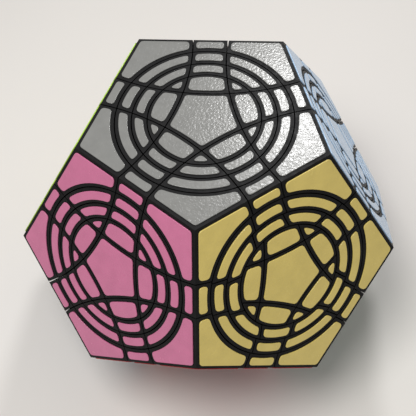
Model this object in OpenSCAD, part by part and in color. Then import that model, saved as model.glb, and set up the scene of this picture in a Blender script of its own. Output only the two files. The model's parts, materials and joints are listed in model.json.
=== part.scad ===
// Dodecahedron twisty puzzle: twelve faces, each with a centre, an inner disc and two rings.
// The puzzle stands on its white face, with the origin in the middle of that face and +Z up.
// A face's layer is what a large ball centred on the face's axis holds, so it turns cleanly.
// Its rings and disc are nested bowls about the middle of the face, each resting in the next.

/* [Body] */
// Length of one edge of the dodecahedron
edge = 38; // [36:0.5:60]
// Clearance between neighbouring pieces
gap = 0.3; // [0.2:0.05:0.4]
// Where a neighbour's cut crosses a face, as a share of the face's inradius
cut_share = 0.297; // [0.28:0.001:0.31]
// Radius of that curved cut on the face, as a share of the face's inradius
cut_bend = 2.3; // [2.2:0.05:2.4]

/* [Rings] */
// Radius of the inner disc, as a share of the face's inradius
disc_share = 0.536; // [0.52:0.002:0.55]
// Outer radius of the inner ring, as a share of the face's inradius
inner_ring_share = 0.685; // [0.67:0.002:0.7]
// Outer radius of the outer ring, as a share of the face's inradius
outer_ring_share = 0.843; // [0.82:0.002:0.86]
// Angle at which the khaki face's outer ring has been left
khaki_outer_ring_turn = 1.7; // [-18:0.1:18]
// Angle at which the khaki face's inner ring has been left
khaki_inner_ring_turn = 5.5; // [-18:0.1:18]
// Angle at which the khaki face's disc has been left
khaki_disc_turn = -4.7; // [-18:0.1:18]

/* [Tiles] */
// Thickness of a coloured tile
tile_h = 0.3; // [0.2:0.05:0.6]
// Width of the black band between two tiles
band = 1.5; // [1:0.1:2]
// Width of the band round the outer ring
outer_band = 1.75; // [1:0.05:2.2]
// Distance from a tile's side to the edge of the face
edge_margin = 0.9; // [0.6:0.05:1.4]

/* [Mechanism] */
// Radius of the sphere that the undersides of all pieces lie on
under_r = 27; // [24:0.5:29]
// Radius of the core's ball
core_r = 14; // [10:0.5:18]
// Radius of the core's twelve arms
arm_r = 3.2; // [2.5:0.1:4]
// Radius of a screw's shank
screw_r = 1.15; // [1:0.05:1.3]
// Radius of a screw's head
head_r = 2.6; // [2.2:0.1:2.8]
// Radius of the well for a screw in each centre piece
well_r = 3.1; // [3:0.1:3.4]
// Length of a spring under a screw's head
spring_l = 4; // [3:0.5:5]
// Number of turns of a spring
spring_turns = 3; // [3:1:5]
// Thickness of a spring's wire
wire_d = 0.7; // [0.4:0.05:0.9]

/* [Hidden] */
GOLDEN = (1 + sqrt(5)) / 2;
FOLD = atan(2);                                  // angle between the normals of adjacent faces
h = edge * GOLDEN * GOLDEN / (2 * sqrt(3 - GOLDEN));   // inradius of the dodecahedron
face_r = h / GOLDEN;                             // inradius of one pentagonal face
top = h - tile_h;                                // plane of the black plastic on every face
$fn = 200;

// Faces by colour, in the order top, upper five, lower five, bottom
GRAY = 0;
ORANGE = 1;
LIME = 2;
PINK = 3;
KHAKI = 4;
BLUE = 5;
YELLOW = 6;
NAVY = 7;
RED = 8;
GREEN = 9;
PURPLE = 10;
WHITE = 11;
FACES = [GRAY:WHITE];
SIDES = [0:4];
FACE_COLOURS = ["#8f918d", "#d9772b", "#9cc13c", "#c06a90", "#b3a562", "#aecbe6",
                "#e8cf2e", "#23407e", "#b3262b", "#2c6b41", "#6c4a93", "#ecebe4"];
TURNING = [KHAKI, ORANGE, NAVY];                 // faces whose layers turn in this model
FIXED = -1;                                      // owner of the pieces that no turning layer holds
BORDER = 3;                                      // a face's zones: 0 disc, 1 and 2 rings, 3 border

// ---------- Where the faces are ----------

function polar(f) = f == GRAY ? 0 : f < YELLOW ? FOLD : f < WHITE ? 180 - FOLD : 180;
function azimuth(f) = f == GRAY ? 0 : f < YELLOW ? 90 + 72 * (f - 1) : f < WHITE ? 126 + 72 * (f - 6) : 36;
function spin(f) = f == GRAY || f == WHITE ? 0 : f < YELLOW ? 18 : 54;
function side_azimuth(k) = 90 + 72 * k;          // direction of a face's k-th side, in the face's frame

function direction(p, a) = [sin(p) * cos(a), sin(p) * sin(a), cos(p)];
function about_y(v, a) = [v.x * cos(a) + v.z * sin(a), v.y, v.z * cos(a) - v.x * sin(a)];
function about_z(v, a) = [v.x * cos(a) - v.y * sin(a), v.x * sin(a) + v.y * cos(a), v.z];
function from_face(f, v) = about_z(about_y(about_z(v, spin(f)), polar(f)), azimuth(f));
function normal(f) = direction(polar(f), azimuth(f));

// The face across the k-th side of face f
function neighbour(f, k) =
    [for (g = FACES) if (normal(g) * from_face(f, direction(FOLD, side_azimuth(k))) > 0.99) g][0];

// The turning layer that holds a piece lying in the layers of all these faces, or FIXED
function owner(faces) =
    let (found = [for (t = TURNING, f = faces) if (t == f) t])
    len(found) == 0 ? FIXED : found[0];
function turns(f) = owner([f]) == f;

// Frame of face f: +Z is its outward normal, and the origin is the puzzle's centre
module on_face(f) {
    translate([0, 0, h]) rotate([0, polar(f), azimuth(f)]) rotate([0, 0, spin(f)]) children();
}

module toward_side(k) {
    rotate([0, FOLD, side_azimuth(k)]) children();
}

// ---------- Cutting solids, in the frame of a face ----------

SHARES = [0, disc_share, inner_ring_share, outer_ring_share];
bend_r = cut_bend * face_r;                      // radius of a neighbour's cut on the face
bend_x = cut_share * face_r + bend_r;            // distance of its middle from the face's middle
ball_z = bend_x / sin(FOLD);                     // middle of a layer's ball, along the face's axis
ball_r = norm([bend_r, h - ball_z * cos(FOLD)]);
function circle_r(i) = SHARES[i] * face_r;       // radius of a face's i-th circle

// The ball that holds a face's whole layer, made larger (or smaller) by grow
module layer_ball(grow) {
    translate([0, 0, ball_z]) sphere(ball_r + grow);
}

module inside_side(k) {
    toward_side(k) layer_ball(-gap / 2);
}

module beyond_side(k) {
    toward_side(k) layer_ball(gap / 2);
}

// The bowl inside a face's i-th circle
module bowl(i, grow) {
    translate([0, 0, h]) sphere(circle_r(i) + grow);
}

// Everything below a face's black plane
module below_face() {
    translate([0, 0, top - h]) cube([3 * h, 3 * h, 2 * h], center = true);
}

module under_sphere() {
    sphere(under_r);
}

// Child 0 is cut down to the part of it that faces the k-th side only
module side_zone(k) {
    difference() {
        intersection() {
            children(0);
            inside_side(k);
        }
        beyond_side(k - 1);
        beyond_side(k + 1);
    }
}

// Child 0 is cut down to the part of it between the k-th side and the next
module vertex_zone(k) {
    intersection() {
        children(0);
        inside_side(k);
        inside_side(k + 1);
    }
}

// ---------- Black pieces ----------

// One of a face's zones: 0 is the disc, 1 the inner ring and 2 the outer ring
module zone_body(i) {
    difference() {
        intersection() {
            bowl(i + 1, -gap / 2);
            below_face();
        }
        if (i > 0) bowl(i, gap / 2);
        under_sphere();
    }
}

module corner_piece(k) {
    difference() {
        intersection() {
            below_face();
            toward_side(k) below_face();
            toward_side(k + 1) below_face();
            layer_ball(-gap / 2);
            inside_side(k);
            inside_side(k + 1);
        }
        bowl(3, gap / 2);
        toward_side(k) bowl(3, gap / 2);
        toward_side(k + 1) bowl(3, gap / 2);
        under_sphere();
    }
}

module edge_piece(k) {
    difference() {
        intersection() {
            below_face();
            toward_side(k) below_face();
            layer_ball(-gap / 2);
            inside_side(k);
        }
        beyond_side(k - 1);
        beyond_side(k + 1);
        bowl(3, gap / 2);
        toward_side(k) bowl(3, gap / 2);
        under_sphere();
    }
}

module corners(whose) {
    for (f = FACES, k = SIDES) {
        trio = [f, neighbour(f, k), neighbour(f, k + 1)];
        if (f == min(trio) && owner(trio) == whose) on_face(f) corner_piece(k);
    }
}

module edges(whose) {
    for (f = FACES, k = SIDES) {
        pair = [f, neighbour(f, k)];
        if (f == min(pair) && owner(pair) == whose) on_face(f) edge_piece(k);
    }
}

// Ring and disc pieces of the faces that don't turn by themselves
module side_pieces(whose) {
    for (f = FACES, k = SIDES, i = [0:2]) if (!turns(f)) {
        if (owner([neighbour(f, k)]) == whose)
            on_face(f) side_zone(k) zone_body(i);
        if (owner([neighbour(f, k), neighbour(f, k + 1)]) == whose)
            on_face(f) vertex_zone(k) zone_body(i);
    }
}

module zone_pieces(i) {
    for (k = SIDES) {
        side_zone(k) zone_body(i);
        vertex_zone(k) zone_body(i);
    }
}

// ---------- Centre pieces, screws and core ----------

play = 0.2;                                      // clearance of a washer
bore_play = 0.3;                                 // clearance of a screw in a centre piece
thread_play = 0.05;                              // clearance of a screw in the core
end_play = 0.05;                                 // clearance at each end of a spring
overlap = 0.1;                                   // how far joined solids reach into each other
hub_floor = under_r + gap;                       // lowest a centre piece may reach
floor_h = 3;                                     // thickness of a centre piece under its well
seat = h - circle_r(1) + floor_h;                // floor of its well
cap_h = 2;                                       // thickness of the cap over the well
cap_floor = top - cap_h;
cap_joint = 0.05;                                // joint line between a centre piece and its cap
plug_h = 1.5;                                    // height of the cap's plug in the well
washer_h = 0.5;
washer_z = seat + play;
spring_z = washer_z + washer_h;
head_z = spring_z + spring_l;
head_h = 1.6;
slot = [2.8, 0.6, 0.7];                          // length, width and depth of a screw's cross slot
screw_end = 11;                                  // how near the puzzle's centre a screw ends
arm_root = 10;                                   // how near the centre a core arm starts, in the ball

module centre_column(from, to) {
    difference() {
        intersection() {
            bowl(1, -gap / 2);
            translate([0, 0, from]) cylinder(h = to - from, r = face_r / 2);
        }
        for (k = SIDES) beyond_side(k);
    }
}

module centre_hub() {
    difference() {
        centre_column(hub_floor, cap_floor - cap_joint);
        translate([0, 0, seat]) cylinder(h = h, r = well_r);
        cylinder(h = h, r = screw_r + bore_play);
    }
}

module centre_cap() {
    centre_column(cap_floor, top);
    translate([0, 0, cap_floor - plug_h]) cylinder(h = plug_h + overlap, r = well_r - overlap);
}

module core() {
    color("dimgray") difference() {
        union() {
            translate([0, 0, h]) rotate([23, 41, 0]) sphere(core_r);
            for (f = FACES) on_face(f) translate([0, 0, arm_root])
                cylinder(h = under_r - arm_root, r = arm_r);
        }
        for (f = FACES) on_face(f) translate([0, 0, screw_end - 1])
            cylinder(h = h, r = screw_r + thread_play);
    }
}

module screw() {
    difference() {
        union() {
            translate([0, 0, screw_end]) cylinder(h = head_z - screw_end + overlap, r = screw_r);
            translate([0, 0, head_z]) cylinder(h = head_h, r = head_r);
        }
        cross_slot();
    }
}

module cross_slot() {
    for (a = [0, 90])
        translate([0, 0, head_z + head_h - slot.z]) rotate([0, 0, a]) linear_extrude(head_h)
            square([slot.x, slot.y], center = true);
}

module washer() {
    translate([0, 0, washer_z]) difference() {
        cylinder(h = washer_h, r = well_r - play);
        translate([0, 0, -1]) cylinder(h = washer_h + 2, r = screw_r + play);
    }
}

// Points round the wire at each step along the coil, joined into a closed skin
module spring() {
    steps_per_turn = 10;
    steps = steps_per_turn * spring_turns;
    ring = 4;                                    // points round the wire
    rise = spring_l - wire_d - 2 * end_play;
    coil_r = screw_r + bore_play + wire_d / 2;
    points = [for (s = [0:steps], j = [0:ring - 1])
        let (a = 360 * s / steps_per_turn, b = 360 * j / ring, r = coil_r + wire_d / 2 * cos(b))
        [r * cos(a), r * sin(a), rise * s / steps + wire_d / 2 * (1 + sin(b)) + end_play]];
    last = steps * ring;
    skin = [for (s = [0:steps - 1], j = [0:ring - 1], half = [0, 1])
        let (a = s * ring + j, b = s * ring + (j + 1) % ring)
        half == 0 ? [a, b, b + ring] : [a, b + ring, a + ring]];
    start_cap = [for (j = [1:ring - 2]) [0, j + 1, j]];
    end_cap = [for (j = [1:ring - 2]) [last, last + j, last + j + 1]];
    translate([0, 0, spring_z]) polyhedron(points, concat(skin, start_cap, end_cap));
}

// ---------- Coloured tiles, drawn flat in the frame of a face ----------

module layer_circle(k, grow) {
    rotate(side_azimuth(k)) translate([bend_x, 0]) circle(bend_r + grow);
}

// The flat shape of a zone's tiles before they are cut apart; zone 3 is the border
module zone_shape(i) {
    difference() {
        if (i == BORDER) rotate(-18) circle((face_r - edge_margin) / cos(36), $fn = 5);
        else circle(circle_r(i + 1) - (i == 2 ? outer_band : band) / 2);
        if (i > 0) circle(circle_r(i) + (i == BORDER ? outer_band : band) / 2);
    }
}

module side_shape(k, i) {
    difference() {
        intersection() {
            zone_shape(i);
            layer_circle(k, -band / 2);
        }
        layer_circle(k - 1, band / 2);
        layer_circle(k + 1, band / 2);
    }
}

module vertex_shape(k, i) {
    intersection() {
        zone_shape(i);
        layer_circle(k, -band / 2);
        layer_circle(k + 1, -band / 2);
    }
}

module tile() {
    translate([0, 0, top]) linear_extrude(tile_h) children();
}

module centre_tile() {
    tile() difference() {
        circle(circle_r(1));
        for (k = SIDES) layer_circle(k, band / 2);
    }
}

module zone_tiles(i) {
    for (k = SIDES) {
        tile() side_shape(k, i);
        tile() vertex_shape(k, i);
    }
}

// The tiles of face f that lie on pieces with this owner
module tiles(f, whose) {
    color(FACE_COLOURS[f]) on_face(f) {
        if (!turns(f) && whose == FIXED) centre_tile();
        for (k = SIDES) {
            beside = neighbour(f, k);
            next = neighbour(f, k + 1);
            if (owner([f, beside]) == whose) tile() side_shape(k, BORDER);
            if (owner([f, beside, next]) == whose) tile() vertex_shape(k, BORDER);
            for (i = [0:2]) if (!turns(f)) {
                if (owner([beside]) == whose) tile() side_shape(k, i);
                if (owner([beside, next]) == whose) tile() vertex_shape(k, i);
            }
        }
    }
}

// ---------- Sub-parts ----------

module black() {
    color("#1b1c1e") children();
}

function rest_turn(f, i) =
    f == KHAKI ? [khaki_disc_turn, khaki_inner_ring_turn, khaki_outer_ring_turn][i] : 0;

module on_fixed_faces() {
    for (f = FACES) if (!turns(f)) on_face(f) children();
}

module screws() {
    color("silver") for (f = FACES) on_face(f) screw();
}

module washers() {
    color("gainsboro") for (f = FACES) on_face(f) washer();
}

module springs() {
    color("lightsteelblue") for (f = FACES) on_face(f) spring();
}

module fixed_corners() {
    black() corners(FIXED);
}

module fixed_edges() {
    black() edges(FIXED);
}

module fixed_ring_pieces() {
    black() side_pieces(FIXED);
}

module fixed_centre_hubs() {
    black() on_fixed_faces() centre_hub();
}

module fixed_centre_caps() {
    black() on_fixed_faces() centre_cap();
}

module layer_outer_pieces(f) {
    black() {
        corners(f);
        edges(f);
    }
}

module layer_side_pieces(f) {
    black() side_pieces(f);
}

module face_ring(f, i) {
    black() on_face(f) rotate([0, 0, rest_turn(f, i)]) zone_pieces(i);
}

module face_ring_tiles(f, i) {
    color(FACE_COLOURS[f]) on_face(f) rotate([0, 0, rest_turn(f, i)]) zone_tiles(i);
}

module face_disc(f) {
    black() on_face(f) rotate([0, 0, rest_turn(f, 0)]) {
        zone_pieces(0);
        centre_hub();
        centre_cap();
    }
}

module face_disc_tiles(f) {
    color(FACE_COLOURS[f]) on_face(f) rotate([0, 0, rest_turn(f, 0)]) {
        centre_tile();
        zone_tiles(0);
    }
}

core();
screws();
washers();
springs();
fixed_corners();
fixed_edges();
fixed_ring_pieces();
fixed_centre_hubs();
fixed_centre_caps();
tiles(GRAY, FIXED);  // fixed_gray_tiles
tiles(LIME, FIXED);  // fixed_lime_tiles
tiles(PINK, FIXED);  // fixed_pink_tiles
tiles(BLUE, FIXED);  // fixed_blue_tiles
tiles(YELLOW, FIXED);  // fixed_yellow_tiles
tiles(RED, FIXED);  // fixed_red_tiles
tiles(GREEN, FIXED);  // fixed_green_tiles
tiles(PURPLE, FIXED);  // fixed_purple_tiles
tiles(WHITE, FIXED);  // fixed_white_tiles
layer_outer_pieces(KHAKI);  // khaki_layer_outer_pieces
layer_side_pieces(KHAKI);  // khaki_layer_side_pieces
tiles(KHAKI, KHAKI);  // khaki_layer_khaki_tiles
tiles(GRAY, KHAKI);  // khaki_layer_gray_tiles
tiles(PINK, KHAKI);  // khaki_layer_pink_tiles
tiles(BLUE, KHAKI);  // khaki_layer_blue_tiles
tiles(RED, KHAKI);  // khaki_layer_red_tiles
tiles(GREEN, KHAKI);  // khaki_layer_green_tiles
face_ring(KHAKI, 2);  // khaki_outer_ring
face_ring_tiles(KHAKI, 2);  // khaki_outer_ring_tiles
face_ring(KHAKI, 1);  // khaki_inner_ring
face_ring_tiles(KHAKI, 1);  // khaki_inner_ring_tiles
face_disc(KHAKI);  // khaki_disc
face_disc_tiles(KHAKI);  // khaki_disc_tiles
layer_outer_pieces(ORANGE);  // orange_layer_outer_pieces
layer_side_pieces(ORANGE);  // orange_layer_side_pieces
tiles(ORANGE, ORANGE);  // orange_layer_orange_tiles
tiles(GRAY, ORANGE);  // orange_layer_gray_tiles
tiles(LIME, ORANGE);  // orange_layer_lime_tiles
tiles(BLUE, ORANGE);  // orange_layer_blue_tiles
tiles(YELLOW, ORANGE);  // orange_layer_yellow_tiles
tiles(PURPLE, ORANGE);  // orange_layer_purple_tiles
face_ring(ORANGE, 2);  // orange_outer_ring
face_ring_tiles(ORANGE, 2);  // orange_outer_ring_tiles
face_ring(ORANGE, 1);  // orange_inner_ring
face_ring_tiles(ORANGE, 1);  // orange_inner_ring_tiles
face_disc(ORANGE);  // orange_disc
face_disc_tiles(ORANGE);  // orange_disc_tiles
layer_outer_pieces(NAVY);  // navy_layer_outer_pieces
layer_side_pieces(NAVY);  // navy_layer_side_pieces
tiles(NAVY, NAVY);  // navy_layer_navy_tiles
tiles(LIME, NAVY);  // navy_layer_lime_tiles
tiles(PINK, NAVY);  // navy_layer_pink_tiles
tiles(YELLOW, NAVY);  // navy_layer_yellow_tiles
tiles(RED, NAVY);  // navy_layer_red_tiles
tiles(WHITE, NAVY);  // navy_layer_white_tiles
face_ring(NAVY, 2);  // navy_outer_ring
face_ring_tiles(NAVY, 2);  // navy_outer_ring_tiles
face_ring(NAVY, 1);  // navy_inner_ring
face_ring_tiles(NAVY, 1);  // navy_inner_ring_tiles
face_disc(NAVY);  // navy_disc
face_disc_tiles(NAVY);  // navy_disc_tiles
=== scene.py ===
import json
import math

import bmesh
import bpy
from mathutils import Matrix, Vector


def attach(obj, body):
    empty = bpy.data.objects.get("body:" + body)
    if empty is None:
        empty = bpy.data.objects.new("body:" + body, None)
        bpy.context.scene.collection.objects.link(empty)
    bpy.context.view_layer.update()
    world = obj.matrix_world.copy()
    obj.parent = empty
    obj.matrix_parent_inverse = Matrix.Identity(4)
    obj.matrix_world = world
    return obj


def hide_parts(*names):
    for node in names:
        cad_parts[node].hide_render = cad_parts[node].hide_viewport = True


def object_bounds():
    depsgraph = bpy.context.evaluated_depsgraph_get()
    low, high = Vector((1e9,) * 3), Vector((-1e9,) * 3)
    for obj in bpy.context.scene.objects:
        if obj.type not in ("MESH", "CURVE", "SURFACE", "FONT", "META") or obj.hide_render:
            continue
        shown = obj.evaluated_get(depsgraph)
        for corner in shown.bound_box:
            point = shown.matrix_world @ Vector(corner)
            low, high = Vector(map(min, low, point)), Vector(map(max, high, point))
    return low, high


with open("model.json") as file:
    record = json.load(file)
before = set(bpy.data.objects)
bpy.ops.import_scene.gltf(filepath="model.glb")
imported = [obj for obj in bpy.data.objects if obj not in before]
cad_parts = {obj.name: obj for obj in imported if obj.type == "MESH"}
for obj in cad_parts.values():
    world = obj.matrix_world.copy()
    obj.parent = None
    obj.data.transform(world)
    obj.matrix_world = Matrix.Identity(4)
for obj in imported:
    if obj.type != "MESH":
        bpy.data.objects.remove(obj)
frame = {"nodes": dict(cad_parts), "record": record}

RECORD = frame["record"]
NODES = frame["nodes"]
CAD_LOW, CAD_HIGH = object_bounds()

HALF = (CAD_HIGH.z - CAD_LOW.z) / 2
CENTRE = Vector((0, 0, CAD_LOW.z + HALF))
FOLD = math.atan(2)

# Where each face of the dodecahedron looks: tilt from straight up, and azimuth, in degrees
UPPER = {"orange": 90, "lime": 162, "pink": 234, "khaki": 306, "blue": 18}
LOWER = {"yellow": 126, "navy": 198, "red": 270, "green": 342, "purple": 54}

# Base colours of the tiles, in linear light
TILE_COLOURS = {
    "gray": (0.192, 0.194, 0.188),
    "orange": (0.800, 0.240, 0.035),
    "lime": (0.380, 0.590, 0.075),
    "pink": (0.560, 0.162, 0.300),
    "khaki": (0.640, 0.510, 0.150),
    "blue": (0.400, 0.560, 0.760),
    "yellow": (0.840, 0.620, 0.040),
    "navy": (0.020, 0.055, 0.220),
    "red": (0.520, 0.020, 0.025),
    "green": (0.025, 0.160, 0.055),
    "purple": (0.150, 0.055, 0.310),
    "white": (0.790, 0.780, 0.740),
}

CORNER_R = 0.00115           # radius of a tile's corners, in metres
SHRINK = 0.00014             # how far a tile keeps inside its CAD outline
SHOULDER = 0.00012           # radius of the soft edge round a tile's outer face
SHOULDER_STEPS = 3
SHARP = math.radians(24)     # a turn of the outline above this is a corner
SHARPEST = 2.4               # a corner's turn counts as no more than this, in radians
REACH = 1.15                 # a corner's curve starts this much further out than a true arc would
SIDE_SHARE = 0.44            # the most of a side that the curve at one of its ends may take
CURVE_STEPS = 6
WELD = 2e-6                  # points nearer than this are one point of the CAD mesh
NEAR = 2e-5                  # points nearer than this are one point of an outline
FLAT = 0.99                  # cosine above which a face belongs to a tile's outer side
RAMP_LOW = 0.3               # a noise's values lie mostly from here
RAMP_HIGH = 0.7              # to here


def direction(tilt, azimuth):
    """The unit vector at that tilt from +Z and that azimuth, both in radians."""
    flat = math.sin(tilt)
    return Vector((flat * math.cos(azimuth), flat * math.sin(azimuth), math.cos(tilt)))


def face_normal(colour):
    """The outward direction of the face with that colour."""
    if colour == "gray":
        return Vector((0, 0, 1))
    if colour == "white":
        return Vector((0, 0, -1))
    if colour in UPPER:
        return direction(FOLD, math.radians(UPPER[colour]))
    return direction(math.pi - FOLD, math.radians(LOWER[colour]))


def tile_colour(node):
    """The colour of a node of tiles: its last word but one, or its face's name for a ring or disc."""
    words = node.split("_")
    return words[0] if words[-2] in ("ring", "disc") else words[-2]


# ---------- Materials ----------


def new_material(name):
    """A material with a Principled shader, and its parts."""
    material = bpy.data.materials.new(name)
    material.use_nodes = True
    tree = material.node_tree
    shader = tree.nodes["Principled BSDF"]
    place = tree.nodes.new("ShaderNodeTexCoord")
    return material, tree, shader, place.outputs["Object"]


def noise(tree, place, scale, detail, roughness):
    """A noise over the object's own coordinates, with that many features to the metre."""
    node = tree.nodes.new("ShaderNodeTexNoise")
    node.inputs["Scale"].default_value = scale
    node.inputs["Detail"].default_value = detail
    node.inputs["Roughness"].default_value = roughness
    tree.links.new(place, node.inputs["Vector"])
    return node.outputs["Fac"]


def remap(tree, value, low, high):
    """The value, spread over low to high."""
    node = tree.nodes.new("ShaderNodeMapRange")
    node.inputs["From Min"].default_value = RAMP_LOW
    node.inputs["From Max"].default_value = RAMP_HIGH
    node.inputs["To Min"].default_value = low
    node.inputs["To Max"].default_value = high
    tree.links.new(value, node.inputs["Value"])
    return node.outputs["Result"]


def two_tone(tree, value, dark, light):
    """A colour between dark and light."""
    node = tree.nodes.new("ShaderNodeValToRGB")
    node.color_ramp.elements[0].position = RAMP_LOW
    node.color_ramp.elements[0].color = (*dark, 1)
    node.color_ramp.elements[1].position = RAMP_HIGH
    node.color_ramp.elements[1].color = (*light, 1)
    tree.links.new(value, node.inputs["Fac"])
    return node.outputs["Color"]


def grain(tree, value, strength, depth):
    """A bump from the value, depth metres high."""
    node = tree.nodes.new("ShaderNodeBump")
    node.inputs["Strength"].default_value = strength
    node.inputs["Distance"].default_value = depth
    tree.links.new(value, node.inputs["Height"])
    return node.outputs["Normal"]


def shaded(colour, factor):
    """The colour made lighter or darker."""
    return tuple(min(1.0, c * factor) for c in colour)


def tile_material(colour):
    """Glossy tile plastic with an orange-peel grain, which breaks a reflection into speckles."""
    material, tree, shader, place = new_material(colour + "_tile")
    base = TILE_COLOURS[colour]
    mottle = noise(tree, place, 260, 3, 0.5)
    mixed = two_tone(tree, mottle, shaded(base, 0.95), shaded(base, 1.05))
    tree.links.new(mixed, shader.inputs["Base Color"])
    tree.links.new(remap(tree, noise(tree, place, 900, 2, 0.5), 0.17, 0.28), shader.inputs["Roughness"])
    peel = noise(tree, place, 1500, 2, 0.55)
    tree.links.new(grain(tree, peel, 0.95, 0.00007), shader.inputs["Normal"])
    shader.inputs["IOR"].default_value = 1.5
    shader.inputs["Specular IOR Level"].default_value = 0.5
    return material


def black_material():
    """Satin moulded plastic."""
    material, tree, shader, place = new_material("black_plastic")
    mottle = noise(tree, place, 180, 3, 0.5)
    colour = two_tone(tree, mottle, (0.0045, 0.0045, 0.005), (0.0080, 0.0080, 0.0085))
    tree.links.new(colour, shader.inputs["Base Color"])
    tree.links.new(remap(tree, noise(tree, place, 700, 3, 0.5), 0.40, 0.58), shader.inputs["Roughness"])
    tree.links.new(grain(tree, noise(tree, place, 2200, 2, 0.5), 0.35, 0.00004), shader.inputs["Normal"])
    shader.inputs["IOR"].default_value = 1.49
    shader.inputs["Specular IOR Level"].default_value = 0.15
    return material


def core_material():
    """Plain moulded plastic, a little lighter and duller than the outer pieces."""
    material, tree, shader, place = new_material("core_plastic")
    mottle = noise(tree, place, 120, 3, 0.5)
    colour = two_tone(tree, mottle, (0.035, 0.035, 0.038), (0.055, 0.055, 0.058))
    tree.links.new(colour, shader.inputs["Base Color"])
    tree.links.new(remap(tree, noise(tree, place, 500, 2, 0.5), 0.5, 0.65), shader.inputs["Roughness"])
    tree.links.new(grain(tree, noise(tree, place, 1400, 2, 0.5), 0.4, 0.00005), shader.inputs["Normal"])
    return material


def steel_material():
    """Plated steel with fine turning marks."""
    material, tree, shader, place = new_material("steel")
    mottle = noise(tree, place, 400, 3, 0.6)
    colour = two_tone(tree, mottle, (0.46, 0.46, 0.47), (0.60, 0.60, 0.61))
    tree.links.new(colour, shader.inputs["Base Color"])
    tree.links.new(remap(tree, noise(tree, place, 1800, 2, 0.5), 0.22, 0.36), shader.inputs["Roughness"])
    tree.links.new(grain(tree, noise(tree, place, 2600, 2, 0.5), 0.2, 0.00002), shader.inputs["Normal"])
    shader.inputs["Metallic"].default_value = 1.0
    return material


def floor_material():
    """Pale warm paper."""
    material, tree, shader, place = new_material("floor")
    mottle = noise(tree, place, 9, 3, 0.5)
    colour = two_tone(tree, mottle, (0.755, 0.735, 0.710), (0.775, 0.755, 0.730))
    tree.links.new(colour, shader.inputs["Base Color"])
    shader.inputs["Roughness"].default_value = 0.85
    shader.inputs["Specular IOR Level"].default_value = 0.2
    return material


# ---------- Tiles ----------


def islands(mesh):
    """The separate solids of a welded mesh, each a list of faces, in the same order every run."""
    left = dict.fromkeys(mesh.faces)
    found = []
    while left:
        first = next(iter(left))
        del left[first]
        stack = [first]
        solid = []
        while stack:
            face = stack.pop()
            solid.append(face)
            for edge in face.edges:
                for other in edge.link_faces:
                    if other in left:
                        del left[other]
                        stack.append(other)
        found.append(solid)
    return sorted(found, key=lambda solid: tuple(round(c, 5) for c in solid_middle(solid)))


def solid_middle(solid):
    """The mean of the middles of a solid's faces."""
    total = Vector()
    for face in solid:
        total += face.calc_center_median()
    return total / len(solid)


def outline(solid, normal):
    """The edge of a solid's outer face as a loop of points, anticlockwise seen from outside."""
    top = [f for f in solid if f.normal.dot(normal) > FLAT]
    inside = set(top)
    following = {}
    for face in top:
        for loop in face.loops:
            if not any(o in inside for o in loop.edge.link_faces if o is not face):
                following[loop.vert] = loop.link_loop_next.vert
    start = next(iter(following))
    points = [start.co.copy()]
    vert = following[start]
    while vert is not start and len(points) <= len(following):
        points.append(vert.co.copy())
        vert = following[vert]
    return points


def turn_at(points, i):
    """How sharply the loop turns at its i-th point, in radians."""
    before = (points[i] - points[i - 1]).normalized()
    after = (points[(i + 1) % len(points)] - points[i]).normalized()
    return before.angle(after, 0.0)


def walk(points, i, step, distance):
    """The point that far along the loop from its i-th one, going by step, and how many it passes."""
    passed = 0
    here = points[i]
    while True:
        there = points[(i + step * (passed + 1)) % len(points)]
        length = (there - here).length
        if length >= distance or passed > len(points):
            return here.lerp(there, min(1.0, distance / max(length, 1e-9))), passed
        distance -= length
        here = there
        passed += 1


def rounded(points):
    """The loop with each sharp corner replaced by a curve."""
    count = len(points)
    corners = [i for i in range(count) if turn_at(points, i) > SHARP]
    if not corners:
        return points
    spans = []
    for n, i in enumerate(corners):
        j = corners[(n + 1) % len(corners)]
        k = i
        length = 0.0
        while True:
            length += (points[(k + 1) % count] - points[k]).length
            k = (k + 1) % count
            if k == j:
                break
        spans.append(length)
    skipped = set()
    curves = {}
    for n, i in enumerate(corners):
        angle = turn_at(points, i)
        reach = CORNER_R * math.tan(min(angle, SHARPEST) / 2) * REACH
        reach = min(reach, SIDE_SHARE * spans[n], SIDE_SHARE * spans[n - 1])
        start, back = walk(points, i, -1, reach)
        end, ahead = walk(points, i, 1, reach)
        for s in range(-back, ahead + 1):
            skipped.add((i + s) % count)
        curve = []
        for step in range(CURVE_STEPS + 1):
            t = step / CURVE_STEPS
            curve.append(start.lerp(points[i], t).lerp(points[i].lerp(end, t), t))
        curves[i] = curve
    result = []
    for i in range(count):
        if i in curves:
            result.extend(curves[i])
        elif i not in skipped:
            result.append(points[i])
    return thinned(result)


def thinned(points):
    """The loop without points that all but coincide."""
    kept = []
    for point in points:
        if not kept or (point - kept[-1]).length > NEAR:
            kept.append(point)
    if (kept[0] - kept[-1]).length < NEAR:
        kept.pop()
    return kept


def inset(points, normal, distance):
    """The loop moved inwards by the distance."""
    result = []
    count = len(points)
    for i in range(count):
        along = (points[(i + 1) % count] - points[i - 1]).normalized()
        result.append(points[i] + normal.cross(along) * distance)
    return result


def add_tile(mesh, points, normal, thickness):
    """A closed tile with a soft shoulder round its outer face."""
    rings = [[p - normal * thickness for p in points]]
    for step in range(SHOULDER_STEPS + 1):
        angle = math.pi / 2 * step / SHOULDER_STEPS
        drop = SHOULDER * (1 - math.sin(angle))
        pull = SHOULDER * (1 - math.cos(angle))
        rings.append([p - normal * drop for p in inset(points, normal, pull)])
    verts = [[mesh.verts.new(p) for p in ring] for ring in rings]
    count = len(points)
    for low, high in zip(verts, verts[1:]):
        for i in range(count):
            j = (i + 1) % count
            side = mesh.faces.new((low[i], low[j], high[j], high[i]))
            side.smooth = True
    mesh.faces.new(verts[-1])
    mesh.faces.new(list(reversed(verts[0])))


def body_of_node(node):
    """The CAD body that a node belongs to."""
    for body, members in RECORD["behaviour"]["bodies"].items():
        if node in members:
            return body
    raise ValueError(node)


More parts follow.
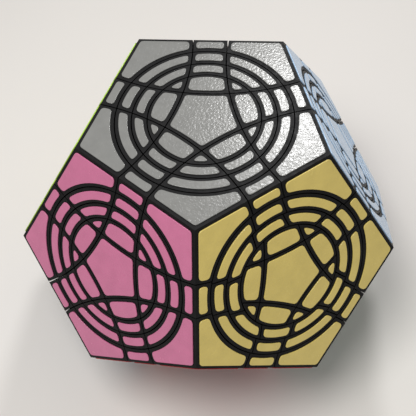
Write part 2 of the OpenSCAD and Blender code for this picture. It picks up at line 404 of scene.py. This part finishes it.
def make_tiles(node, material):
    """Tiles with rounded corners, in place of a node of plain ones."""
    normal = face_normal(tile_colour(node))
    source = bmesh.new()
    source.from_mesh(NODES[node].data)
    bmesh.ops.remove_doubles(source, verts=source.verts, dist=WELD)
    source.normal_update()
    heights = [v.co.dot(normal) for v in source.verts]
    thickness = max(heights) - min(heights)
    result = bmesh.new()
    for solid in islands(source):
        points = inset(rounded(thinned(outline(solid, normal))), normal, SHRINK)
        add_tile(result, points, normal, thickness)
    source.free()
    data = bpy.data.meshes.new(node + "_rounded")
    result.to_mesh(data)
    result.free()
    piece = bpy.data.objects.new(node + "_rounded", data)
    bpy.context.scene.collection.objects.link(piece)
    data.materials.append(material)
    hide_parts(node)
    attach(piece, body_of_node(node))


def finish_node(node, material):
    """Gives a CAD node its material."""
    data = NODES[node].data
    if not data.materials:
        data.materials.append(material)
    for i in range(len(data.materials)):
        data.materials[i] = material


# ---------- Floor, light and camera ----------


def make_floor():
    """A sheet that lies flat under the puzzle."""
    size = 40 * HALF
    data = bpy.data.meshes.new("floor")
    corners = [(-size, -size, 0), (size, -size, 0), (size, size, 0), (-size, size, 0)]
    data.from_pydata(corners, [], [(0, 1, 2, 3)])
    data.materials.append(floor_material())
    piece = bpy.data.objects.new("floor", data)
    piece.location.z = CAD_LOW.z
    bpy.context.scene.collection.objects.link(piece)


def make_light(name, place, target, size, power, colour):
    """A round soft light; places and sizes are in half heights of the puzzle, from its middle."""
    light = bpy.data.lights.new(name, "AREA")
    light.shape = "DISK"
    light.size = size * HALF
    light.energy = power
    light.color = colour
    lamp = bpy.data.objects.new(name, light)
    lamp.location = CENTRE + Vector(place) * HALF
    aim = CENTRE + Vector(target) * HALF - lamp.location
    lamp.rotation_euler = aim.to_track_quat("-Z", "Y").to_euler()
    bpy.context.scene.collection.objects.link(lamp)


def make_world():
    """Plain warm white surroundings."""
    world = bpy.data.worlds.new("studio")
    bpy.context.scene.world = world
    world.use_nodes = True
    back = world.node_tree.nodes["Background"]
    back.inputs["Color"].default_value = (1.0, 0.985, 0.965, 1)
    back.inputs["Strength"].default_value = 0.40


def make_camera():
    """The camera above and in front of the puzzle, looking down at its middle and tilted a little."""
    data = bpy.data.cameras.new("camera")
    data.lens = 73.2
    data.sensor_width = 36
    data.clip_start = 0.01
    camera = bpy.data.objects.new("camera", data)
    place = CENTRE + Vector((0.374, -3.065, 4.812)) * HALF
    ahead = (CENTRE + Vector((-0.020, 0.015, 0.011)) * HALF - place).normalized()
    level = ahead.cross(Vector((0, 0, 1))).normalized()
    upright = level.cross(ahead)
    roll = math.radians(4.4)
    up = upright * math.cos(roll) + level * math.sin(roll)
    right = level * math.cos(roll) - upright * math.sin(roll)
    turn = Matrix((right, up, -ahead)).transposed().to_4x4()
    camera.matrix_world = Matrix.Translation(place) @ turn
    bpy.context.scene.collection.objects.link(camera)
    bpy.context.scene.camera = camera


TILES = {colour: tile_material(colour) for colour in TILE_COLOURS}
BLACK = black_material()
STEEL = steel_material()
CORE = core_material()

for name in sorted(NODES):
    if name.endswith("_tiles"):
        finish_node(name, TILES[tile_colour(name)])
        make_tiles(name, TILES[tile_colour(name)])
    elif name == "core":
        finish_node(name, CORE)
    elif name in ("screws", "washers", "springs"):
        finish_node(name, STEEL)
    else:
        finish_node(name, BLACK)

make_floor()
make_world()
make_light("key", (-1.6, -2.2, 8.0), (0, 0, 0), 4.0, 0.85, (1.0, 0.98, 0.95))
make_light("glare", (0.9, 4.5, 6.5), (0.55, 0.1, 1.0), 1.3, 0.36, (1.0, 1.0, 1.0))
bpy.context.scene.view_settings.view_transform = "Standard"
make_camera()
